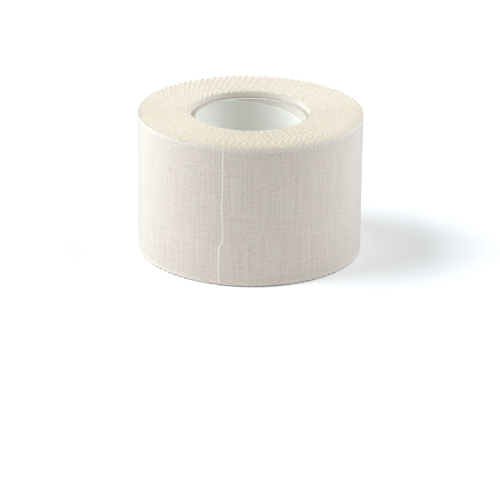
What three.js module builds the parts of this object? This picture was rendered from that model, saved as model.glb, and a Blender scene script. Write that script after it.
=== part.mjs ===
// A roll of athletic tape: ten yards of off-white cotton cloth, adhesive on one side and pinked along
// both edges, wound on a plain paper core. It stands on one end, with its axis along +Z and the torn
// end of the tape on the outer turn, towards -Y. Millimetres.
import * as THREE from "three";
import { mergeVertices } from "three/addons/utils/BufferGeometryUtils.js";

// Driving dimensions of the tape and its winding
const TAPE_WIDTH = 50;
const TAPE_LENGTH = 9144;
const WINDING_OUTER_RADIUS = 39.2;
const WINDING_INNER_RADIUS = 20.7;
const TOOTH_TARGET_PITCH = 2.39;
const TOOTH_DEPTH = 0.85;

// The teeth of neighbouring turns fall almost in line, so each valley runs on over the end faces
const OUTER_NOTCH_RUN = 4.5;
const INNER_NOTCH_RUN = 2.5;

// Driving dimensions of the core, which stops short of both ends of the winding
const CORE_BORE_RADIUS = 19;
const CORE_GAP = 0.3;
const CORE_RECESS = 2.5;
const CORE_SIDES = 96;

// The torn end of the outer turn: where it crosses the foot of the roll, and how far it strays from an
// upright line on its way up, anticlockwise seen from above
const TORN_END_ANGLE = THREE.MathUtils.degToRad(-105.2);
const TORN_END = [
  { height: 0, stray: 0 },
  { height: 11.5, stray: 0 },
  { height: 14.2, stray: 0.2 },
  { height: 15.5, stray: 0.9 },
  { height: 17.2, stray: 1.4 },
  { height: 21.4, stray: 1.4 },
  { height: 24.6, stray: 1.2 },
  { height: 26.8, stray: 0.9 },
  { height: 30.8, stray: 1.0 },
  { height: 35.6, stray: 1.25 },
  { height: TAPE_WIDTH, stray: 1.25 },
];

// Sizes that follow from them
const WINDING_AREA = Math.PI * (WINDING_OUTER_RADIUS ** 2 - WINDING_INNER_RADIUS ** 2);
const LAYER = WINDING_AREA / TAPE_LENGTH;
const OUTER_TURN = 2 * Math.PI * (WINDING_OUTER_RADIUS - LAYER / 2);
const OUTER_TEETH = Math.round(OUTER_TURN / TOOTH_TARGET_PITCH);
const TOOTH_PITCH = OUTER_TURN / OUTER_TEETH;
const INNER_TEETH = Math.round((2 * Math.PI * WINDING_INNER_RADIUS) / TOOTH_TARGET_PITCH);

// Two points nearer than this are one
const CLOSE = 1e-4;

const clothMaterial = new THREE.MeshStandardMaterial({
  color: new THREE.Color(0.9, 0.88, 0.83),
  roughness: 0.95,
  metalness: 0,
});
const coreMaterial = new THREE.MeshStandardMaterial({
  color: new THREE.Color(0.74, 0.73, 0.7),
  roughness: 0.85,
  metalness: 0,
});

// How far the pinked edge is cut back from its tips, at a distance along the tape from a tip
function cutBack(along) {
  const share = (along / TOOTH_PITCH) % 1;
  return TOOTH_DEPTH * (1 - Math.abs(1 - 2 * share));
}

// The corners of the pinked edge at the top or the foot, from one distance along the tape to another
function pinkedEdge(top, from, to) {
  const tipsAndValleys = Array.from({ length: 2 * OUTER_TEETH + 3 }, (_, i) => (i * TOOTH_PITCH) / 2);
  const between = tipsAndValleys.filter((along) => along > from + CLOSE && along < to - CLOSE);
  const stops = [from, ...between, ...(to > from ? [to] : [])];
  return stops.map((along) => new THREE.Vector2(along, edgeHeight(top, cutBack(along))));
}

// A point on the outside of the winding: the spiral shrinks by one layer in each turn, counted
// anticlockwise from the torn end, so a distance past one turn is on the layer under it
function onOutside(along, height, inward = 0) {
  const turns = along / OUTER_TURN;
  const angle = TORN_END_ANGLE + 2 * Math.PI * turns;
  const radius = WINDING_OUTER_RADIUS - LAYER * turns - inward;
  return new THREE.Vector3(radius * Math.cos(angle), radius * Math.sin(angle), height);
}

// A point on the inner turn, counted in teeth
function onInside(tooth, height, outward = 0) {
  const angle = TORN_END_ANGLE + (2 * Math.PI * tooth) / INNER_TEETH;
  const radius = WINDING_INNER_RADIUS + outward;
  return new THREE.Vector3(radius * Math.cos(angle), radius * Math.sin(angle), height);
}

// Height of a point of the pinked edge that is cut back by a given amount, at the top or the foot
function edgeHeight(top, cut) {
  return top ? TAPE_WIDTH - cut : cut;
}

// A fan of triangles from one point over a row of others; turned says that it faces the other way
function fan(faces, centre, row, turned) {
  for (let i = 0; i + 1 < row.length; i += 1) {
    const pair = turned ? [row[i + 1], row[i]] : [row[i], row[i + 1]];
    faces.push([centre, ...pair]);
  }
}

// Fills a flat anticlockwise outline with its holes, and places each corner on its surface
function fill(faces, outline, holes, place, turned) {
  const all = [...outline, ...holes.flat()];
  for (const corners of THREE.ShapeUtils.triangulateShape(outline, holes)) {
    const face = corners.map((corner) => place(all[corner]));
    faces.push(turned ? face.reverse() : face);
  }
}

// The torn end's line from the foot to the top, on the turn that starts at a given distance
function tornOutline(start) {
  return TORN_END.map(({ height, stray }) => {
    const cut = cutBack(start + stray);
    const clipped = THREE.MathUtils.clamp(height, edgeHeight(false, cut), edgeHeight(true, cut));
    return new THREE.Vector2(start + stray, clipped);
  });
}

// The outside: two cells for each tooth, and two larger ones that meet at the torn end, with the step
// between the turn that ends there and the one under it
function addOutside(faces) {
  const half = TOOTH_PITCH / 2;
  const cells = 2 * OUTER_TEETH - 1;
  const place = (p) => onOutside(p.x, p.y);
  for (let i = 2; i < cells; i += 1) {
    const [a, b] = pinkedEdge(false, i * half, (i + 1) * half).map(place);
    const [d, c] = pinkedEdge(true, i * half, (i + 1) * half).map(place);
    faces.push([a, b, c], [a, c, d]);
  }

  const over = tornOutline(0);
  const under = tornOutline(OUTER_TURN);
  const foot = under[0].x;
  const head = under.at(-1).x;
  const right = [
    ...pinkedEdge(false, over[0].x, TOOTH_PITCH).slice(1),
    ...pinkedEdge(true, over.at(-1).x, TOOTH_PITCH).slice(1).reverse(),
  ];
  const left = [
    ...pinkedEdge(true, cells * half, head).slice(0, -1).reverse(),
    ...pinkedEdge(false, cells * half, foot).slice(0, -1),
  ];
  fill(faces, [...over.toReversed(), ...right], [], place, false);
  fill(faces, [...under, ...left], [], place, false);

  for (let i = 0; i + 1 < over.length; i += 1) {
    const [a, b, c, d] = [over[i], over[i + 1], under[i + 1], under[i]].map(place);
    faces.push([a, b, c], [a, c, d]);
  }
}

// The inside, which faces the core
function addInside(faces) {
  for (let i = 0; i < 2 * INNER_TEETH; i += 1) {
    const next = (i + 1) % (2 * INNER_TEETH);
    const cut = i % 2 ? TOOTH_DEPTH : 0;
    const nextCut = i % 2 ? 0 : TOOTH_DEPTH;
    const a = onInside(i / 2, cut);
    const b = onInside(next / 2, nextCut);
    const c = onInside(next / 2, TAPE_WIDTH - nextCut);
    const d = onInside(i / 2, TAPE_WIDTH - cut);
    faces.push([a, c, b], [a, d, c]);
  }
}

// The rim of the torn tooth, from the tip on the layer under it, over the step, to the next tip
function tornRim(top) {
  const tear = top ? TORN_END.at(-1).stray : TORN_END[0].stray;
  const under = pinkedEdge(top, OUTER_TURN, OUTER_TURN + tear);
  const over = pinkedEdge(top, tear, TOOTH_PITCH);
  return [...under, ...over].map((p) => onOutside(p.x, p.y));
}

// One end of the winding: a flat face at the height of the tips, notched all round its two rims
function addEnd(faces, top) {
  const flat = edgeHeight(top, 0);
  const cut = edgeHeight(top, TOOTH_DEPTH);
  const outline = [];
  for (let i = 0; i < OUTER_TEETH; i += 1) {
    const middle = onOutside((i + 0.5) * TOOTH_PITCH, flat, OUTER_NOTCH_RUN);
    const whole = pinkedEdge(top, i * TOOTH_PITCH, (i + 1) * TOOTH_PITCH);
    const rim = i ? whole.map((p) => onOutside(p.x, p.y)) : tornRim(top);
    fan(faces, middle, rim, !top);
    outline.push(rim[0], middle);
  }
  const hole = [];
  for (let i = 0; i < INNER_TEETH; i += 1) {
    const middle = onInside(i + 0.5, flat, INNER_NOTCH_RUN);
    const next = (i + 1) % INNER_TEETH;
    const rim = [onInside(i, flat), onInside(i + 0.5, cut), onInside(next, flat)];
    fan(faces, middle, rim, top);
    hole.push(rim[0], middle);
  }
  fill(faces, outline, [hole.reverse()], (p) => p, !top);
}

function windingGeometry() {
  const faces = [];
  addOutside(faces);
  addInside(faces);
  addEnd(faces, true);
  addEnd(faces, false);
  const geometry = mergeVertices(new THREE.BufferGeometry().setFromPoints(faces.flat()), CLOSE);
  geometry.computeVertexNormals();
  return geometry;
}

// The core is a plain tube, turned from its section
function coreGeometry() {
  const radius = WINDING_INNER_RADIUS - CORE_GAP;
  const foot = CORE_RECESS;
  const head = TAPE_WIDTH - CORE_RECESS;
  const section = [
    new THREE.Vector2(CORE_BORE_RADIUS, head),
    new THREE.Vector2(CORE_BORE_RADIUS, foot),
    new THREE.Vector2(radius, foot),
    new THREE.Vector2(radius, head),
    new THREE.Vector2(CORE_BORE_RADIUS, head),
  ];
  return new THREE.LatheGeometry(section, CORE_SIDES).rotateX(Math.PI / 2);
}

function namedMesh(name, geometry, material) {
  const mesh = new THREE.Mesh(geometry, material);
  mesh.name = name;
  return mesh;
}

const roll = new THREE.Group();
roll.add(namedMesh("tape_winding", windingGeometry(), clothMaterial));
roll.add(namedMesh("core", coreGeometry(), coreMaterial));

export default roll;
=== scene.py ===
"""A roll of athletic tape standing on one end: a paper core, and ten yards of pinked cotton tape wound
on it. Metres, +Z up along the roll's axis, with the torn end of the tape towards -Y."""

import math

import bpy
from mathutils import Matrix, Vector


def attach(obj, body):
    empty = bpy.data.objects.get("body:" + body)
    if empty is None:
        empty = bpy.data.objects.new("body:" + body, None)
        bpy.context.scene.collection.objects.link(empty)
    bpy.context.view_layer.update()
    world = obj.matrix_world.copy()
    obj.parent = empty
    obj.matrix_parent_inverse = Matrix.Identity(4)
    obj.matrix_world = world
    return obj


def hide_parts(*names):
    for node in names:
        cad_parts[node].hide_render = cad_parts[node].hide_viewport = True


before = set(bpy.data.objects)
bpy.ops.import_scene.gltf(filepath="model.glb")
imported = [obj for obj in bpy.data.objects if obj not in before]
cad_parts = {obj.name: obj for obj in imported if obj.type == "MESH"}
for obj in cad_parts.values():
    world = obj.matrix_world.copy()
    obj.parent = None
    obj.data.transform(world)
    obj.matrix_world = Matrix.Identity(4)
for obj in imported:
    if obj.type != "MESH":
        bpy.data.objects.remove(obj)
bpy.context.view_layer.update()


# The core is a tube of tan paper board with a grey lining paper, both wound on a slant and glued. The
# lining's turns drift apart towards the head, so the board shows above the edge of its last turn there.
# The tape sticks to the outside of the core, which stops short of both ends of the winding.
core_sizes = {
    "Bore radius": 0.0190,
    "Outer radius": 0.0204,
    "Foot": 0.0025,
    "Head": 0.0475,
    "Lining thickness": 0.00015,
    "Lining edge at -Y": 0.038785,
    "Lining edge slope": 0.00008,
    "Lining rise in a turn": 0.0151,
    "Lining gap growth in a turn": 0.0044,
    "Lining turns": 5,
    "Glue line width": 0.00030,
    "Sides": 180,
}
LINING_PALE = (0.93, 0.93, 0.88)
LINING_DARK = (0.86, 0.86, 0.80)
BOARD_PALE = (0.83, 0.79, 0.715)
BOARD_DARK = (0.745, 0.69, 0.60)
BOARD_CUT = (0.60, 0.55, 0.47)
PAPER_CONTRAST = 0.4
CUT_END_REACH = 0.00005

# A fold sharper than this is shaded as a crease
SHARP_FOLD = math.radians(35)

# A share or a count from a tree may fall short of its whole number by less than this
ROUNDING_ROOM = 0.01


class Measure:
    """A number that a node tree works out, so that its sums can be written as plain arithmetic."""

    def __init__(self, tree, socket):
        self.tree = tree
        self.socket = socket

    def step(self, operation, *others, reverse=False):
        values = [self.socket, *(o.socket if isinstance(o, Measure) else o for o in others)]
        if reverse:
            values.reverse()
        node = put(self.tree, "ShaderNodeMath", dict(enumerate(values)), operation=operation)
        return Measure(self.tree, node.outputs[0])

    def __add__(self, other):
        return self.step("ADD", other)

    def __sub__(self, other):
        return self.step("SUBTRACT", other)

    def __rsub__(self, other):
        return self.step("SUBTRACT", other, reverse=True)

    def __mul__(self, other):
        return self.step("MULTIPLY", other)

    def __truediv__(self, other):
        return self.step("DIVIDE", other)

    def least(self, other):
        return self.step("MINIMUM", other)

    def most(self, other):
        return self.step("MAXIMUM", other)

    def over(self, other):
        return self.step("GREATER_THAN", other)

    __radd__ = __add__
    __rmul__ = __mul__


def feed(tree, socket, value):
    """Gives a node's input a number, a measure or what another node puts out."""
    if isinstance(value, Measure):
        value = value.socket
    if isinstance(value, bpy.types.NodeSocket):
        tree.links.new(value, socket)
    else:
        socket.default_value = value


def put(tree, kind, inputs=(), **settings):
    """Adds a node with its settings, and feeds its inputs, which go by name or number."""
    node = tree.nodes.new(kind)
    for name, value in settings.items():
        setattr(node, name, value)
    for socket, value in dict(inputs).items():
        feed(tree, node.inputs[socket], value)
    return node


def sized_tree(name, sizes):
    """A Geometry Nodes tree with one input for each named size, and those inputs as measures."""
    tree = bpy.data.node_groups.new(name, "GeometryNodeTree")
    for label, size in sizes.items():
        kind = "NodeSocketInt" if isinstance(size, int) else "NodeSocketFloat"
        tree.interface.new_socket(label, in_out="INPUT", socket_type=kind)
    tree.interface.new_socket("Geometry", in_out="OUTPUT", socket_type="NodeSocketGeometry")
    given = tree.nodes.new("NodeGroupInput")
    return tree, {label: Measure(tree, given.outputs[label]) for label in sizes}


def place_of(tree):
    """The three coordinates of a point, as measures."""
    here = put(tree, "GeometryNodeInputPosition").outputs[0]
    parts = put(tree, "ShaderNodeSeparateXYZ", {0: here}).outputs
    return [Measure(tree, part) for part in parts]


def vector_of(tree, x, y, z):
    """A vector from three numbers or measures."""
    return put(tree, "ShaderNodeCombineXYZ", {"X": x, "Y": y, "Z": z}).outputs[0]


def moved_to(tree, geometry, x, y, z):
    """The geometry with each point moved to the place that the measures give."""
    inputs = {"Geometry": geometry, "Position": vector_of(tree, x, y, z)}
    return put(tree, "GeometryNodeSetPosition", inputs).outputs[0]


def kept(tree, geometry, name, value, kind="FLOAT", domain="POINT"):
    """Writes a measure or a vector to a named attribute of the geometry."""
    inputs = {"Geometry": geometry, "Name": name, "Value": value}
    store = "GeometryNodeStoreNamedAttribute"
    return put(tree, store, inputs, data_type=kind, domain=domain).outputs[0]


def kept_as_uv(tree, geometry, u, v):
    """Writes two measures to the geometry's UV map."""
    return kept(tree, geometry, "UVMap", vector_of(tree, u, v, 0), "FLOAT2", "CORNER")


def joined(tree, *parts):
    join = put(tree, "GeometryNodeJoinGeometry")
    for part in parts:
        tree.links.new(part, join.inputs[0])
    return join.outputs[0]


def flat_grid(tree, first, last, columns, rows):
    """A flat grid of cells, from one number to another along X and from 0 to 1 along Y."""
    inputs = {
        "Size X": last - first,
        "Size Y": 1.0,
        "Vertices X": columns + 1,
        "Vertices Y": rows + 1,
    }
    grid = put(tree, "GeometryNodeMeshGrid", inputs).outputs["Mesh"]
    shift = {"Geometry": grid, "Translation": vector_of(tree, (first + last) / 2, 0.5, 0)}
    return put(tree, "GeometryNodeTransform", shift).outputs[0]


def welded(tree, geometry, distance):
    inputs = {"Geometry": geometry, "Distance": distance}
    return put(tree, "GeometryNodeMergeByDistance", inputs).outputs[0]


def flipped(tree, geometry):
    return put(tree, "GeometryNodeFlipFaces", {0: geometry}).outputs[0]


def picked(tree, index, values):
    """One of a few values, by a measure that counts from 0."""
    node = put(tree, "GeometryNodeIndexSwitch", data_type="FLOAT")
    while len(node.index_switch_items) < len(values):
        node.index_switch_items.new()
    # The node drops the decimals of its index, so half is added for it to round instead
    for socket, value in zip(node.inputs, [index + 0.5, *values]):
        feed(tree, socket, value)
    return Measure(tree, node.outputs[0])


def finished(tree, geometry, material):
    """Rounds the shading but for the creases, and gives the material."""
    geometry = put(tree, "GeometryNodeSetShadeSmooth", {0: geometry, "Shade Smooth": True}).outputs[0]
    bend = Measure(tree, put(tree, "GeometryNodeInputMeshEdgeAngle").outputs[0])
    edges = put(tree, "GeometryNodeSetShadeSmooth", {0: geometry, "Shade Smooth": False}, domain="EDGE")
    feed(tree, edges.inputs["Selection"], bend.over(SHARP_FOLD))
    real = put(tree, "GeometryNodeRealizeInstances", {0: edges.outputs[0]}).outputs[0]
    return put(tree, "GeometryNodeSetMaterial", {0: real, "Material": material}).outputs[0]


def plain_piece(name, tree, geometry, sizes):
    """Runs a tree with its sizes, and keeps what it makes as a plain mesh with no modifier."""
    put(tree, "NodeGroupOutput", {"Geometry": geometry})
    pattern = bpy.data.objects.new(name + "_pattern", bpy.data.meshes.new(name + "_pattern"))
    bpy.context.scene.collection.objects.link(pattern)
    modifier = pattern.modifiers.new(name, "NODES")
    modifier.node_group = tree
    for item in tree.interface.items_tree:
        if item.in_out == "INPUT":
            modifier[item.identifier] = sizes[item.name]
    depsgraph = bpy.context.evaluated_depsgraph_get()
    evaluated = pattern.evaluated_get(depsgraph)
    mesh = bpy.data.meshes.new_from_object(
        evaluated, preserve_all_data_layers=True, depsgraph=depsgraph
    )
    piece = bpy.data.objects.new(name, mesh)
    bpy.context.scene.collection.objects.link(piece)
    bpy.data.objects.remove(pattern)
    return piece


def new_finish(name, **sockets):
    """A material with one Principled shader, whose even values are set on its own sockets."""
    material = bpy.data.materials.new(name)
    material.use_nodes = True
    shader = material.node_tree.nodes["Principled BSDF"]
    for socket, value in sockets.items():
        shader.inputs[socket.replace("_", " ")].default_value = value
    return material, material.node_tree, shader


def read_back(tree, name):
    """An attribute that the mesh keeps, for its material."""
    return Measure(tree, put(tree, "ShaderNodeAttribute", attribute_name=name).outputs["Fac"])


def grain(tree, place, scale, detail=2.0, roughness=0.5, dimensions="3D"):
    """Smooth noise from 0 to 1 at a place, or at a single measure where it is 1D."""
    socket = "W" if dimensions == "1D" else "Vector"
    inputs = {socket: place, "Scale": scale, "Detail": detail, "Roughness": roughness}
    return Measure(tree, put(tree, "ShaderNodeTexNoise", inputs, noise_dimensions=dimensions).outputs[0])


def blend_of(tree, share, first, second):
    """A colour between two others, by a share from 0 to 1."""
    node = put(tree, "ShaderNodeMix", data_type="RGBA")
    feed(tree, node.inputs[0], share)
    # The node has other sockets of the same names for numbers and vectors
    for socket, colour in ((node.inputs[6], first), (node.inputs[7], second)):
        feed(tree, socket, (*colour, 1) if isinstance(colour, tuple) else colour)
    return node.outputs[2]


def dress(tree, shader, colour, relief, strength, depth):
    """Gives a shader its colour, and a fine relief that is so many metres deep."""
    feed(tree, shader.inputs["Base Color"], colour)
    bump = {"Strength": strength, "Distance": depth, "Height": relief}
    feed(tree, shader.inputs["Normal"], put(tree, "ShaderNodeBump", bump).outputs[0])


def paper_board():
    """Smooth paper, a little mottled, with short fibres that run round the tube: the grey lining, the
    darker glue along its edge, and the tan board in its gap and at the cut ends."""
    finish, tree, shader = new_finish("core_board", Roughness=0.75, Specular_IOR_Level=0.3)
    spot = put(tree, "ShaderNodeTexCoord").outputs["Object"]
    slim = put(tree, "ShaderNodeVectorMath", {0: spot, 1: (1, 1, 5)}, operation="MULTIPLY").outputs[0]
    mottle = grain(tree, spot, scale=260, detail=3)
    fibre = grain(tree, slim, scale=900, detail=4, roughness=0.7)
    share = (mottle + fibre - 0.5) * PAPER_CONTRAST + read_back(tree, "glue_line")
    share = share.most(0).least(1)
    lining = blend_of(tree, share, LINING_PALE, LINING_DARK)
    board = blend_of(tree, share, BOARD_PALE, BOARD_DARK)
    bare = read_back(tree, "bare_board").over(1 - ROUNDING_ROOM)
    wall = blend_of(tree, bare, lining, board)
    up = Measure(tree, put(tree, "ShaderNodeSeparateXYZ", {0: spot}).outputs["Z"])
    middle = (core_sizes["Foot"] + core_sizes["Head"]) / 2
    cut = (up - middle).step("ABSOLUTE").over(core_sizes["Head"] - middle - CUT_END_REACH)
    dress(tree, shader, blend_of(tree, cut, wall, BOARD_CUT), fibre, strength=0.35, depth=0.00004)
    return finish


def on_lining(size, turn, height):
    """The distance above the lining's edge, the gap over that edge, and how open the gap is, to 1."""
    rise = size["Lining rise in a turn"]
    laps = (height - size["Lining edge at -Y"]) / rise - turn
    lap = laps.step("FLOOR")
    parted = (lap + turn + 1).most(0)
    return (laps - lap) * rise, parted * size["Lining gap growth in a turn"], parted.least(1)


def bore_radius(size, turn, height):
    """The wall falls back over the lining's edge, and comes forward past the gap or with the rise."""
    rise = size["Lining rise in a turn"]
    slope = size["Lining edge slope"]
    above, gap, opened = on_lining(size, turn, height)
    past_gap = ((above - gap) / slope).most(0).least(1)
    recess = (above / slope).least(1 - above / rise) * (1 - past_gap * opened)
    return size["Bore radius"] + size["Lining thickness"] * recess


def rounded(tree, geometry, turn, radius, height):
    """The geometry laid round the tube, with turn 0 towards -Y, and unrolled on its UV map."""
    angle = (turn - 0.25) * math.tau
    x = radius * angle.step("COSINE")
    y = radius * angle.step("SINE")
    return moved_to(tree, kept_as_uv(tree, geometry, turn, height), x, y, height)


def bore_wall(tree, size):
    """The wall of the bore, whose rows run along the slant of the lining."""
    rise = size["Lining rise in a turn"]
    slope = size["Lining edge slope"]
    glued = slope + size["Glue line width"]

    # A turn of the lining has five rows of points: two across its edge, one where the line of glue along
    # that edge ends, and two across the far side of the gap
    rows_in_a_turn = 5
    rows = size["Lining turns"] * rows_in_a_turn
    turn, row, _ = place_of(tree)
    count = row * rows
    lap_from_foot = (count / rows_in_a_turn + ROUNDING_ROOM).step("FLOOR")
    stop = count - lap_from_foot * rows_in_a_turn
    lap = lap_from_foot - size["Lining turns"] + 1
    gap = (lap + turn + 1) * size["Lining gap growth in a turn"]
    past_edge = [0, slope, glued, gap.most(glued), gap.most(glued) + slope]
    height = (lap + turn) * rise + size["Lining edge at -Y"] + picked(tree, stop, past_edge)
    height = height.most(size["Foot"]).least(size["Head"])

    above, gap, _ = on_lining(size, turn, height)
    bare = above.over(slope / 2) * (gap + slope / 2 - above).over(0) * gap.over(glued)
    wall = flat_grid(tree, 0, 1, columns=size["Sides"], rows=rows)
    wall = kept(tree, wall, "glue_line", picked(tree, stop, [0, 1, 0, 0, 0]))
    wall = kept(tree, wall, "bare_board", bare)
    return flipped(tree, rounded(tree, wall, turn, bore_radius(size, turn, height), height))


def core_outside(tree, size):
    """Three rows of cells: the lower end ring, the outside and the upper end ring."""
    turn, row, _ = place_of(tree)
    height = size["Foot"] + (size["Head"] - size["Foot"]) * row.over(0.5)
    outside = row.over(0.2) * (1 - row.over(0.8))
    inner = bore_radius(size, turn, height)
    radius = inner + (size["Outer radius"] - inner) * outside
    shell = flat_grid(tree, 0, 1, columns=size["Sides"], rows=3)
    return rounded(tree, kept(tree, shell, "bare_board", 1.0), turn, radius, height)


def wound_core():
    tree, size = sized_tree("wound_core", core_sizes)
    tube = joined(tree, core_outside(tree, size), bore_wall(tree, size))
    tube = finished(tree, welded(tree, tube, distance=2e-6), paper_board())
    return plain_piece("core_tube", tree, tube, core_sizes)


core = wound_core()
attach(core, "root")
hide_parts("core")


# The tape is one length of plain-woven cotton with a cream adhesive on its inner side. Both of its edges
# are pinked, so that it tears across by hand. It is wound on the core and held by its own adhesive.
TOOTH_PITCH = 0.002368
TEETH_IN_ALL = 3861
TAPE_LENGTH = TEETH_IN_ALL * TOOTH_PITCH
TORN_END_AT = math.radians(-105.2)

# In each turn there is a tooth fewer than in the turn over it. So the valleys of all the turns line up
# on one side of the roll, where the outer turn measures a whole number of teeth and a half, and drift
# apart on the way round from there
TURN_PITCH = TOOTH_PITCH / math.tau
TEETH_LINE_UP_AT = math.radians(76)
OUTER_TEETH_THERE = 103.5
OUTER_RADIUS = TURN_PITCH * (OUTER_TEETH_THERE + (TEETH_LINE_UP_AT - TORN_END_AT) / math.tau)
INNER_RADIUS = math.sqrt(OUTER_RADIUS**2 - TURN_PITCH * TAPE_LENGTH / math.pi)

# The cut fibres have matted over the valleys, which are only deep near the two rims. The cloth is cut a
# little narrower than the tape's width, which its wander from turn to turn makes up for
tape_sizes = {
    "Cut width": 0.0498,
    "Cloth thickness": 0.000365,
    "Tooth pitch": TOOTH_PITCH,
    "Tooth depth": 0.00062,
    "Matted tooth depth": 0.00012,
    "Clear teeth at the outer rim": 0.0045,
    "Clear teeth at the inner rim": 0.0025,
    "Turn pitch": TURN_PITCH,
    "Outer radius": OUTER_RADIUS,
    "Inner radius": INNER_RADIUS,
    "Edge wander": 0.00015,
    "Torn end angle": TORN_END_AT,
    "Torn end lift": 0.00003,
    "Lifted teeth": 2.5,
    "Torn thread stray": 0.00012,
    "Teeth at the torn end": 3,
    "Teeth to the second turn": 107,
    "Teeth in all": TEETH_IN_ALL,
    "Rows at the torn end": 136,
    "Torn fibres": 300,
    "Torn fibre length": 0.0007,
    "Torn fibre radius": 0.00003,
    "Torn fibre root": 0.00006,
    "Edge free of fibres": 0.0006,
}

# How far the torn end strays from an upright line, anticlockwise seen from above, on its way up
TORN_END = (
    # height, stray
    (0.0, 0.0),
    (0.0132, 0.0),
    (0.0140, 0.0002),
    (0.0151, 0.0010),
    (0.0160, 0.0014),
    (0.0214, 0.0014),
    (0.0246, 0.0012),
    (0.0268, 0.0009),
    (0.0308, 0.0010),
    (0.0356, 0.00125),
    (0.0500, 0.00125),
)

# The last weft thread at the torn end stands up a little and is round on its free side
LAST_THREAD = (
    # distance from the tear, height
    (0.0, 0.0),
    (0.00005, 0.00010),
    (0.00016, 0.00017),
    (0.00028, 0.00021),
    (0.00040, 0.00018),
    (0.00052, 0.00010),
)
LAST_THREAD_WIDTH = LAST_THREAD[-1][0]
LAST_THREAD_SINKS = 0.00010
# Over the last thread the cloth is painted paler, as bare cotton and as a painted highlight, fading out
# over this
FRINGE_AND_HIGHLIGHT_FADE = 0.00020

# A broken fibre is a bend of length 1 that leaves the tear backwards. Each is moved, turned and shrunk
# by chance, from a least to a most value and with a seed of its own
FIBRE_BEND = {"Start": (0, 0, 0), "Middle": (-0.5, 0, 0), "End": (-0.9, -0.3, 0.25)}
FIBRE_CHANCES = {
    "height": (-0.0001, 0.0001, 1),
    "depth": (-0.00005, 0.00020, 2),
    "turn about X": (-2.2, 2.2, 3),
    "turn about Y": (-0.7, 0.7, 4),
    "turn about Z": (-0.5, 0.25, 5),
    "shrink": (0.15, 1, 6),
}

# The teeth stray a little along the edge, by a share of a tooth, and are cut to uneven depths. Both
# change over a run of some teeth, and each edge has its own
TOOTH_SHARPNESS = 0.94
TOOTH_STRAY = 0.18
TOOTH_STRAY_RUN = 60
TOOTH_UNEVENNESS = 0.4
TOOTH_UNEVENNESS_RUN = 3
HEAD_TEETH_SHIFT = 977
WANDER_RUN = 0.22
WANDER_LEVEL = 0.2

# The threads of the weave drift from their places, and the level ones are bowed as well
WEFT_PITCH = 0.000575
WEFT_DRIFT = 0.00030
WARP_PITCH = 0.00073
WARP_DRIFT = 0.00045
WARP_BOW = 0.0030

# What makes the cloth paler, from painted shade in the gaps between its threads to their crowns, whose
# round backs are painted lighter as if lit, over the yarns' own uneven tone; and what raises it
CLOTH_TONE_AND_SHADE = {
    "weave": 0.26,
    "weft": 0.40,
    "warp": 0.18,
    "weft yarn": 0.65,
    "warp yarn": 0.35,
    "slub": 1.1,
    "nap": 0.7,
}
CLOTH_TONE_IN_A_SHADED_GAP = 0.22
CLOTH_RELIEF = {"weave": 0.6, "weft": 0.5, "slub": 0.5}

# What makes the cut edge darker, from bare yarn to adhesive, and painted shade in the valleys of the
# teeth
CUT_TONE = {"depth": 1.2, "fray": 3.2, "valley": 0.4}
CUT_TONE_OUTSIDE = -0.35

# The rims fray to bare, whiter yarn, made stronger as painted light against the shade at the foot; the
# same pale colour also carries the torn end's painted highlight
FRAYED_EDGE = 0.0018
FRAY_AND_LIGHT_STRENGTH = 1.1
FRINGE_AND_HIGHLIGHT_STRENGTH = 0.9
COTTON_CROWN = (0.80, 0.722, 0.64)
COTTON_GAP_SHADE = (0.48, 0.404, 0.335)
BARE_COTTON_AND_LIGHT = (0.90, 0.85, 0.78)
CUT_COTTON = (0.76, 0.70, 0.60)
CUT_ADHESIVE = (0.56, 0.455, 0.32)
ADHESIVE = (0.94, 0.90, 0.82)
ADHESIVE_PALE = (0.97, 0.95, 0.90)


def by_table(tree, measure, table):
    """The second column of a table, read off where the measure stands in the first column."""
    first, last = table[0][0], table[-1][0]
    tallest = max(value for _, value in table)
    node = put(tree, "ShaderNodeFloatCurve", {"Value": (measure - first) / (last - first)})
    line = node.mapping.curves[0]
    line.points[0].location = (0, table[0][1] / tallest)
    line.points[1].location = (1, table[-1][1] / tallest)
    for stop, value in table[1:-1]:
        line.points.new((stop - first) / (last - first), value / tallest)
    for point in line.points:
        point.handle_type = "VECTOR"
    node.mapping.update()
    return Measure(tree, node.outputs[0]) * tallest


def torn_at(tree, size, height):
    """How far along the tape its torn end lies at a height, with each torn thread on its own."""
    thread = (height / WARP_PITCH).step("FLOOR")
    stray = put(tree, "ShaderNodeTexWhiteNoise", {"W": thread}, noise_dimensions="1D").outputs[0]
    return by_table(tree, height, TORN_END) + size["Torn thread stray"] * Measure(tree, stray)


def radius_at(size, along):
    """The radius of the outer face of the tape, at a distance along it from the torn end."""
    outer = size["Outer radius"]
    return (outer * outer - size["Turn pitch"] * along / math.pi).step("SQRT")


def rolled_up(tree, geometry, size):
    """Winds a flat tape, with its length along X, its depth along Y and its width along Z."""
    along, depth, height = place_of(tree)
    face = radius_at(size, along)
    angle = size["Torn end angle"] + (size["Outer radius"] - face) * math.tau / size["Turn pitch"]
    lifted = (1 - along / (size["Tooth pitch"] * size["Lifted teeth"])).most(0).least(1)
    radius = face - depth + size["Torn end lift"] * lifted * lifted
    return moved_to(tree, geometry, radius * angle.step("COSINE"), radius * angle.step("SINE"), height)


def weighed(traits, weights, base=0.0):
    """The sum of some named traits, each by its own weight."""
    return sum((traits[name] * weight for name, weight in weights.items()), start=base)


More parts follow.
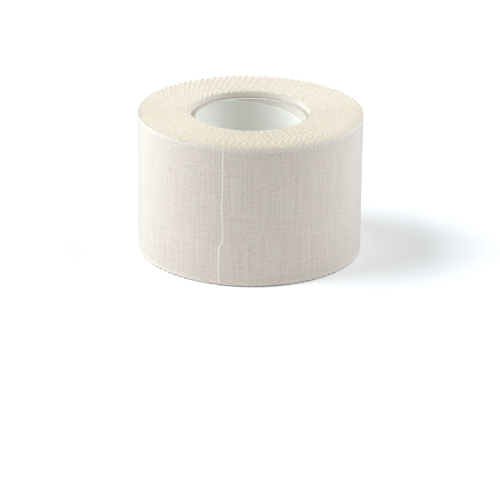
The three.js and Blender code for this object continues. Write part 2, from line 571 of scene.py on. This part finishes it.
def cotton_cloth():
    """Plain-woven cotton: upright weft and level warp by turns on top, painted shade between the threads,
    uneven yarns, a soft nap.
    """
    finish, tree, shader = new_finish(
        "cotton_cloth", Roughness=0.95, Specular_IOR_Level=0.2, Sheen_Weight=1.0, Sheen_Roughness=0.4
    )
    flat = put(tree, "ShaderNodeUVMap", uv_map="UVMap").outputs[0]
    along, up, _ = (Measure(tree, out) for out in put(tree, "ShaderNodeSeparateXYZ", {0: flat}).outputs)
    drift = grain(tree, flat, scale=320, detail=2) - 0.5
    bow = grain(tree, flat, scale=90, detail=1) - 0.5
    weft = (along + drift * WEFT_DRIFT) / WEFT_PITCH
    warp = (up + drift * WARP_DRIFT + bow * WARP_BOW) / WARP_PITCH

    def ridge(count):
        """The round back of each thread, from 0 at its sides to 1 in its middle."""
        return (count * math.pi).step("SINE").step("ABSOLUTE")

    def on_top(mine, other, shift):
        """How high a thread stands on its way over and under the others."""
        turn = (other - 0.5 - mine.step("FLOOR") + shift) * math.pi
        return ridge(mine) * (turn.step("COSINE") * 0.5 + 0.5)

    def uneven(across, level, scale, detail=1):
        """Noise around 0 at a place that is counted in threads."""
        return grain(tree, vector_of(tree, across, level, 0), scale, detail) - 0.5

    # A yarn's own tone hardly changes along it and is another one beside it. A shift of many threads
    # keeps two patterns of the same kind apart
    traits = {
        "weave": on_top(weft, warp, 0).most(on_top(warp, weft, 1)),
        "weft": ridge(weft),
        "warp": ridge(warp),
        "weft yarn": uneven(weft, warp * 0.03, scale=1.1),
        "warp yarn": uneven(weft * 0.04, warp + 40, scale=1.1),
        "slub": uneven(weft * 1.6, warp * 0.7, scale=1.0, detail=2),
        "nap": uneven(weft + 90, warp, scale=2.1),
    }
    # The tone runs from painted shade in the gaps between the threads to their crowns, painted lighter as
    # if lit
    tone = weighed(traits, CLOTH_TONE_AND_SHADE, base=CLOTH_TONE_IN_A_SHADED_GAP).most(0).least(1)
    cotton = blend_of(tree, tone, COTTON_GAP_SHADE, COTTON_CROWN)
    from_edge = read_back(tree, "from_foot").least(read_back(tree, "from_head"))
    # Near the rims and at the torn end the cloth is paler: bare yarn ends, with painted light that
    # offsets the shade at the foot and a painted highlight on the torn end's last thread
    frayed_and_lit = (1 - from_edge / FRAYED_EDGE).most(0) * (traits["slub"] + 0.5) * FRAY_AND_LIGHT_STRENGTH
    bare = frayed_and_lit.most(read_back(tree, "torn_fringe_and_highlight") * FRINGE_AND_HIGHLIGHT_STRENGTH).least(1)
    colour = blend_of(tree, bare, cotton, BARE_COTTON_AND_LIGHT)
    relief = weighed(traits, CLOTH_RELIEF)
    dress(tree, shader, colour, relief, strength=0.28, depth=0.00008)
    return finish


def pinked_cut():
    """The cut edge of the cloth: pale yarn ends outside, darker adhesive inside, and painted shade with a
    little more adhesive in the valleys.
    """
    finish, tree, shader = new_finish("pinked_cut", Roughness=0.9, Specular_IOR_Level=0.2)
    spot = put(tree, "ShaderNodeTexCoord").outputs["Object"]
    fray = grain(tree, spot, scale=1500, detail=4, roughness=0.65)
    traits = {
        "depth": read_back(tree, "depth"),
        "fray": fray - 0.5,
        "valley": read_back(tree, "valley") - 0.5,
    }
    # The valleys of the teeth are painted in shade
    tone = weighed(traits, CUT_TONE, base=CUT_TONE_OUTSIDE).most(0).least(1)
    colour = blend_of(tree, tone, CUT_COTTON, CUT_ADHESIVE)
    dress(tree, shader, colour, fray, strength=0.4, depth=0.00008)
    return finish


def adhesive_side():
    """The inner side of the cloth, coated unevenly with a matt cream adhesive."""
    finish, tree, shader = new_finish("adhesive_side", Roughness=0.6, Specular_IOR_Level=0.35)
    flat = put(tree, "ShaderNodeUVMap", uv_map="UVMap").outputs[0]
    spread = grain(tree, flat, scale=900, detail=3)
    tone = ((spread - 0.35) * 1.2).most(0).least(1)
    colour = blend_of(tree, tone, ADHESIVE, ADHESIVE_PALE)
    dress(tree, shader, colour, spread, strength=0.3, depth=0.00006)
    return finish


def torn_fibres(tree, size):
    """Short broken fibres of the warp that stand out of the torn end, on the flat tape."""
    inputs = {"Count": size["Torn fibres"], "Start Location": (0, 0, 0), "Offset": (0, 0, 0)}
    roots = put(tree, "GeometryNodeMeshLine", inputs).outputs[0]
    index = put(tree, "GeometryNodeInputIndex").outputs[0]

    def chance(name):
        least, most, seed = FIBRE_CHANCES[name]
        node = put(tree, "FunctionNodeRandomValue", {"ID": index, "Seed": seed}, data_type="FLOAT")
        # The sockets of the same names before these are for vectors
        feed(tree, node.inputs[2], least)
        feed(tree, node.inputs[3], most)
        return Measure(tree, node.outputs[1])

    margin = size["Edge free of fibres"]
    height = (Measure(tree, index) + 0.5) / size["Torn fibres"] * size["Cut width"]
    height = (height + chance("height")).most(margin).least(size["Cut width"] - margin)
    start = torn_at(tree, size, height) + size["Torn fibre root"]
    roots = moved_to(tree, roots, start, chance("depth"), height)
    fibre = put(tree, "GeometryNodeCurveQuadraticBezier", {"Resolution": 5, **FIBRE_BEND}).outputs[0]
    turned = vector_of(tree, chance("turn about X"), chance("turn about Y"), chance("turn about Z"))
    shrunk = chance("shrink")
    inputs = {
        "Points": roots,
        "Instance": fibre,
        "Rotation": put(tree, "FunctionNodeEulerToRotation", {0: turned}).outputs[0],
        "Scale": size["Torn fibre length"] * shrunk * shrunk,
    }
    placed = put(tree, "GeometryNodeInstanceOnPoints", inputs).outputs[0]
    placed = put(tree, "GeometryNodeRealizeInstances", {0: placed}).outputs[0]
    inputs = {"Resolution": 3, "Radius": size["Torn fibre radius"]}
    section = put(tree, "GeometryNodeCurvePrimitiveCircle", inputs).outputs[0]
    inputs = {"Curve": placed, "Profile Curve": section, "Fill Caps": True}
    fibres = put(tree, "GeometryNodeCurveToMesh", inputs).outputs[0]
    along, _, up = place_of(tree)
    # The fibres take the torn end's paler colour: bare cotton with a painted highlight
    return kept(tree, kept_as_uv(tree, fibres, along, up), "torn_fringe_and_highlight", 1.0)


def length_of_tape(tree, first, last, cells_per_tooth, rows):
    """A flat strip from one tooth to another, with teeth counted along X and its width 1."""
    return flat_grid(tree, first, last, (last - first) * cells_per_tooth, rows)


def torn_patch(tree, size):
    """The torn end of the flat strip, with close columns that follow the tear, and its last thread."""
    pitch = size["Tooth pitch"]
    last = size["Teeth at the torn end"]
    patch = length_of_tape(tree, 0, last, cells_per_tooth=12, rows=size["Rows at the torn end"])
    tooth, share, _ = place_of(tree)
    # The last column closes to the two edges alone, because the strip beyond it has only those
    share = share + (share.step("ROUND") - share) * tooth.over(last - ROUNDING_ROOM)
    past_tear = tooth * tooth / last
    tear = torn_at(tree, size, share * size["Cut width"]) / pitch
    on_thread = (past_tear * pitch).least(LAST_THREAD_WIDTH)
    raised = by_table(tree, on_thread, LAST_THREAD) - LAST_THREAD_SINKS
    # The torn end is painted paler: bare cotton, and a painted highlight on the raised last thread
    fringe_and_highlight = ((LAST_THREAD_WIDTH - on_thread) / FRINGE_AND_HIGHLIGHT_FADE).least(1)
    patch = kept(tree, patch, "last_thread", raised)
    patch = kept(tree, patch, "torn_fringe_and_highlight", fringe_and_highlight)
    return moved_to(tree, patch, tear + past_tear * (1 - tear / last), share, 0)


def flat_strip(tree, size):
    """The whole tape before its edges are cut, finest at its torn end and coarsest on the inner turns."""
    patch_end = size["Teeth at the torn end"]
    second_turn = size["Teeth to the second turn"]
    inner_turns = length_of_tape(tree, second_turn, size["Teeth in all"], cells_per_tooth=2, rows=1)
    outer_turn = length_of_tape(tree, patch_end, second_turn, cells_per_tooth=8, rows=1)
    strip = joined(tree, inner_turns, outer_turn, torn_patch(tree, size))
    return welded(tree, strip, distance=0.001)


def grain_along(tree, measure):
    return grain(tree, measure, scale=1, detail=1, dimensions="1D")


def cut_back(tree, tooth, shift):
    """How deep an edge is cut, from 0 at a tip to about 1 in a valley, by the teeth counted along it."""
    strayed = tooth + grain_along(tree, tooth / TOOTH_STRAY_RUN + shift) * TOOTH_STRAY
    swing = (strayed * math.tau).step("COSINE") * TOOTH_SHARPNESS
    zigzag = 0.5 - swing.step("ARCSINE") / (2 * math.asin(TOOTH_SHARPNESS))
    uneven = grain_along(tree, tooth / TOOTH_UNEVENNESS_RUN + shift) - 0.5
    return zigzag * (1 + uneven * TOOTH_UNEVENNESS)


def pinked(tree, strip, size):
    """Cuts the teeth along both edges, and lets the tape wander a little from turn to turn."""
    tooth, share, _ = place_of(tree)
    along = tooth * size["Tooth pitch"]
    face = radius_at(size, along)
    from_outer_rim = (size["Outer radius"] - face) / size["Clear teeth at the outer rim"]
    from_inner_rim = (face - size["Inner radius"]) / size["Clear teeth at the inner rim"]
    clear = (1 - from_outer_rim.least(from_inner_rim)).most(0)
    matted = size["Matted tooth depth"]
    depth = matted + (size["Tooth depth"] - matted) * clear * clear

    foot_valley = cut_back(tree, tooth, 0)
    head_valley = cut_back(tree, tooth, HEAD_TEETH_SHIFT)
    foot = depth * foot_valley
    head = size["Cut width"] - depth * head_valley
    wander = (grain_along(tree, along / WANDER_RUN) - WANDER_LEVEL).most(0) * size["Edge wander"]
    strip = kept(tree, strip, "from_foot", (head - foot) * share)
    strip = kept(tree, strip, "from_head", (head - foot) * (1 - share))
    # Where the valleys lie, for the painted shade in them
    strip = kept(tree, strip, "valley", foot_valley + (head_valley - foot_valley) * share)
    return moved_to(tree, strip, along, 0, foot + (head - foot) * share + wander)


def thickened(tree, strip, size):
    """Draws the inner face and the cut edges inwards from the outer face, which stays."""
    along, _, up = place_of(tree)
    strip = kept_as_uv(tree, strip, along, up)
    inputs = {
        "Mesh": flipped(tree, strip),
        "Offset": (0, 1, 0),
        "Offset Scale": size["Cloth thickness"],
        "Individual": False,
    }
    drawn = put(tree, "GeometryNodeExtrudeMesh", inputs)
    inner = kept(tree, drawn.outputs["Mesh"], "adhesive_side", drawn.outputs["Top"], "BOOLEAN", "FACE")
    inner = kept(tree, inner, "pinked_cut", drawn.outputs["Side"], "BOOLEAN", "FACE")
    tape = welded(tree, joined(tree, inner, strip), distance=5e-6)

    # The last thread stands up on the outer face alone
    along, depth, up = place_of(tree)
    share = depth / size["Cloth thickness"]
    tape = kept(tree, tape, "depth", share)
    thread = put(tree, "GeometryNodeInputNamedAttribute", {"Name": "last_thread"}, data_type="FLOAT")
    return moved_to(tree, tape, along, depth - Measure(tree, thread.outputs[0]) * (1 - share), up)


def wound_tape():
    """The tape is cut out, thickened and given its torn fibres flat, and wound up last."""
    tree, size = sized_tree("wound_tape", tape_sizes)
    tape = thickened(tree, pinked(tree, flat_strip(tree, size), size), size)
    tape = rolled_up(tree, joined(tree, torn_fibres(tree, size), tape), size)
    tape = finished(tree, tape, cotton_cloth())
    for face, finish in (("adhesive_side", adhesive_side()), ("pinked_cut", pinked_cut())):
        chosen = put(tree, "GeometryNodeInputNamedAttribute", {"Name": face}, data_type="BOOLEAN")
        inputs = {"Geometry": tape, "Selection": chosen.outputs[0], "Material": finish}
        tape = put(tree, "GeometryNodeSetMaterial", inputs).outputs[0]
    return plain_piece("wound_tape", tree, tape, tape_sizes)


tape = wound_tape()
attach(tape, "root")
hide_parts("tape_winding")


# The roll stands on a matt white floor that runs on past the picture. Two square soft boxes light it at
# 45 degrees, the stronger one from the left. The light of the room itself is faint and warm.
FLOOR_REACH = 2.5
FLOOR_WHITE = (0.98, 0.98, 0.98, 1)
ROOM_COLOUR = (1, 0.87, 0.72, 1)
ROOM_STRENGTH = 0.105
BOX_COLOUR = (0.89, 0.95, 1.0)
BOX_SIZE = 1.0
ROLL_MIDDLE = Vector((0, 0, 0.025))

floor_mesh = bpy.data.meshes.new("floor")
corner_signs = ((-1, -1), (1, -1), (1, 1), (-1, 1))
corners = [(x * FLOOR_REACH, y * FLOOR_REACH, 0) for x, y in corner_signs]
floor_mesh.from_pydata(corners, [], [(0, 1, 2, 3)])
floor = bpy.data.objects.new("floor", floor_mesh)
bpy.context.scene.collection.objects.link(floor)
floor_finish, _, _ = new_finish("floor_white", Base_Color=FLOOR_WHITE, Roughness=0.9)
floor_mesh.materials.append(floor_finish)

surround = bpy.data.worlds.new("surround")
bpy.context.scene.world = surround
surround.use_nodes = True
surround.node_tree.nodes["Background"].inputs["Color"].default_value = ROOM_COLOUR
surround.node_tree.nodes["Background"].inputs["Strength"].default_value = ROOM_STRENGTH


def soft_box(name, place, watts):
    """A square lamp that faces the middle of the roll."""
    lamp = bpy.data.lights.new(name, "AREA")
    lamp.shape = "SQUARE"
    lamp.size = BOX_SIZE
    lamp.energy = watts
    lamp.color = BOX_COLOUR
    lamp_object = bpy.data.objects.new(name, lamp)
    lamp_object.location = place
    towards = ROLL_MIDDLE - lamp_object.location
    lamp_object.rotation_euler = towards.to_track_quat("-Z", "Y").to_euler()
    bpy.context.scene.collection.objects.link(lamp_object)


soft_box("key_left", (-0.9, 0.0, 0.9), watts=21.4)
soft_box("fill_right", (0.9, 0.1, 0.9), watts=14.0)


# The camera has a long lens, and looks down at the roll from 22 degrees above the floor, rolled a little
# anticlockwise. It aims just below the roll's foot, so the roll stands in the picture's upper half.
VIEW_LENS = 186.55
VIEW_DISTANCE = 0.9141
VIEW_AIM = Vector((0.00042, 0, -0.0022))
VIEW_DIP = math.radians(21.965)
VIEW_ROLL = math.radians(0.7)

view = bpy.data.cameras.new("view")
view.lens = VIEW_LENS
view.sensor_width = 36
view.clip_start = 0.05
view.clip_end = 20
camera = bpy.data.objects.new("view", view)
bpy.context.scene.collection.objects.link(camera)
back = Vector((0, -math.cos(VIEW_DIP), math.sin(VIEW_DIP)))
level = Vector((1, 0, 0))
rise = Vector((0, math.sin(VIEW_DIP), math.cos(VIEW_DIP)))
right = level * math.cos(VIEW_ROLL) + rise * math.sin(VIEW_ROLL)
upward = rise * math.cos(VIEW_ROLL) - level * math.sin(VIEW_ROLL)
stance = Matrix((right, upward, back)).transposed().to_4x4()
camera.matrix_world = Matrix.Translation(VIEW_AIM + back * VIEW_DISTANCE) @ stance
bpy.context.scene.camera = camera
bpy.context.scene.view_settings.view_transform = "Standard"
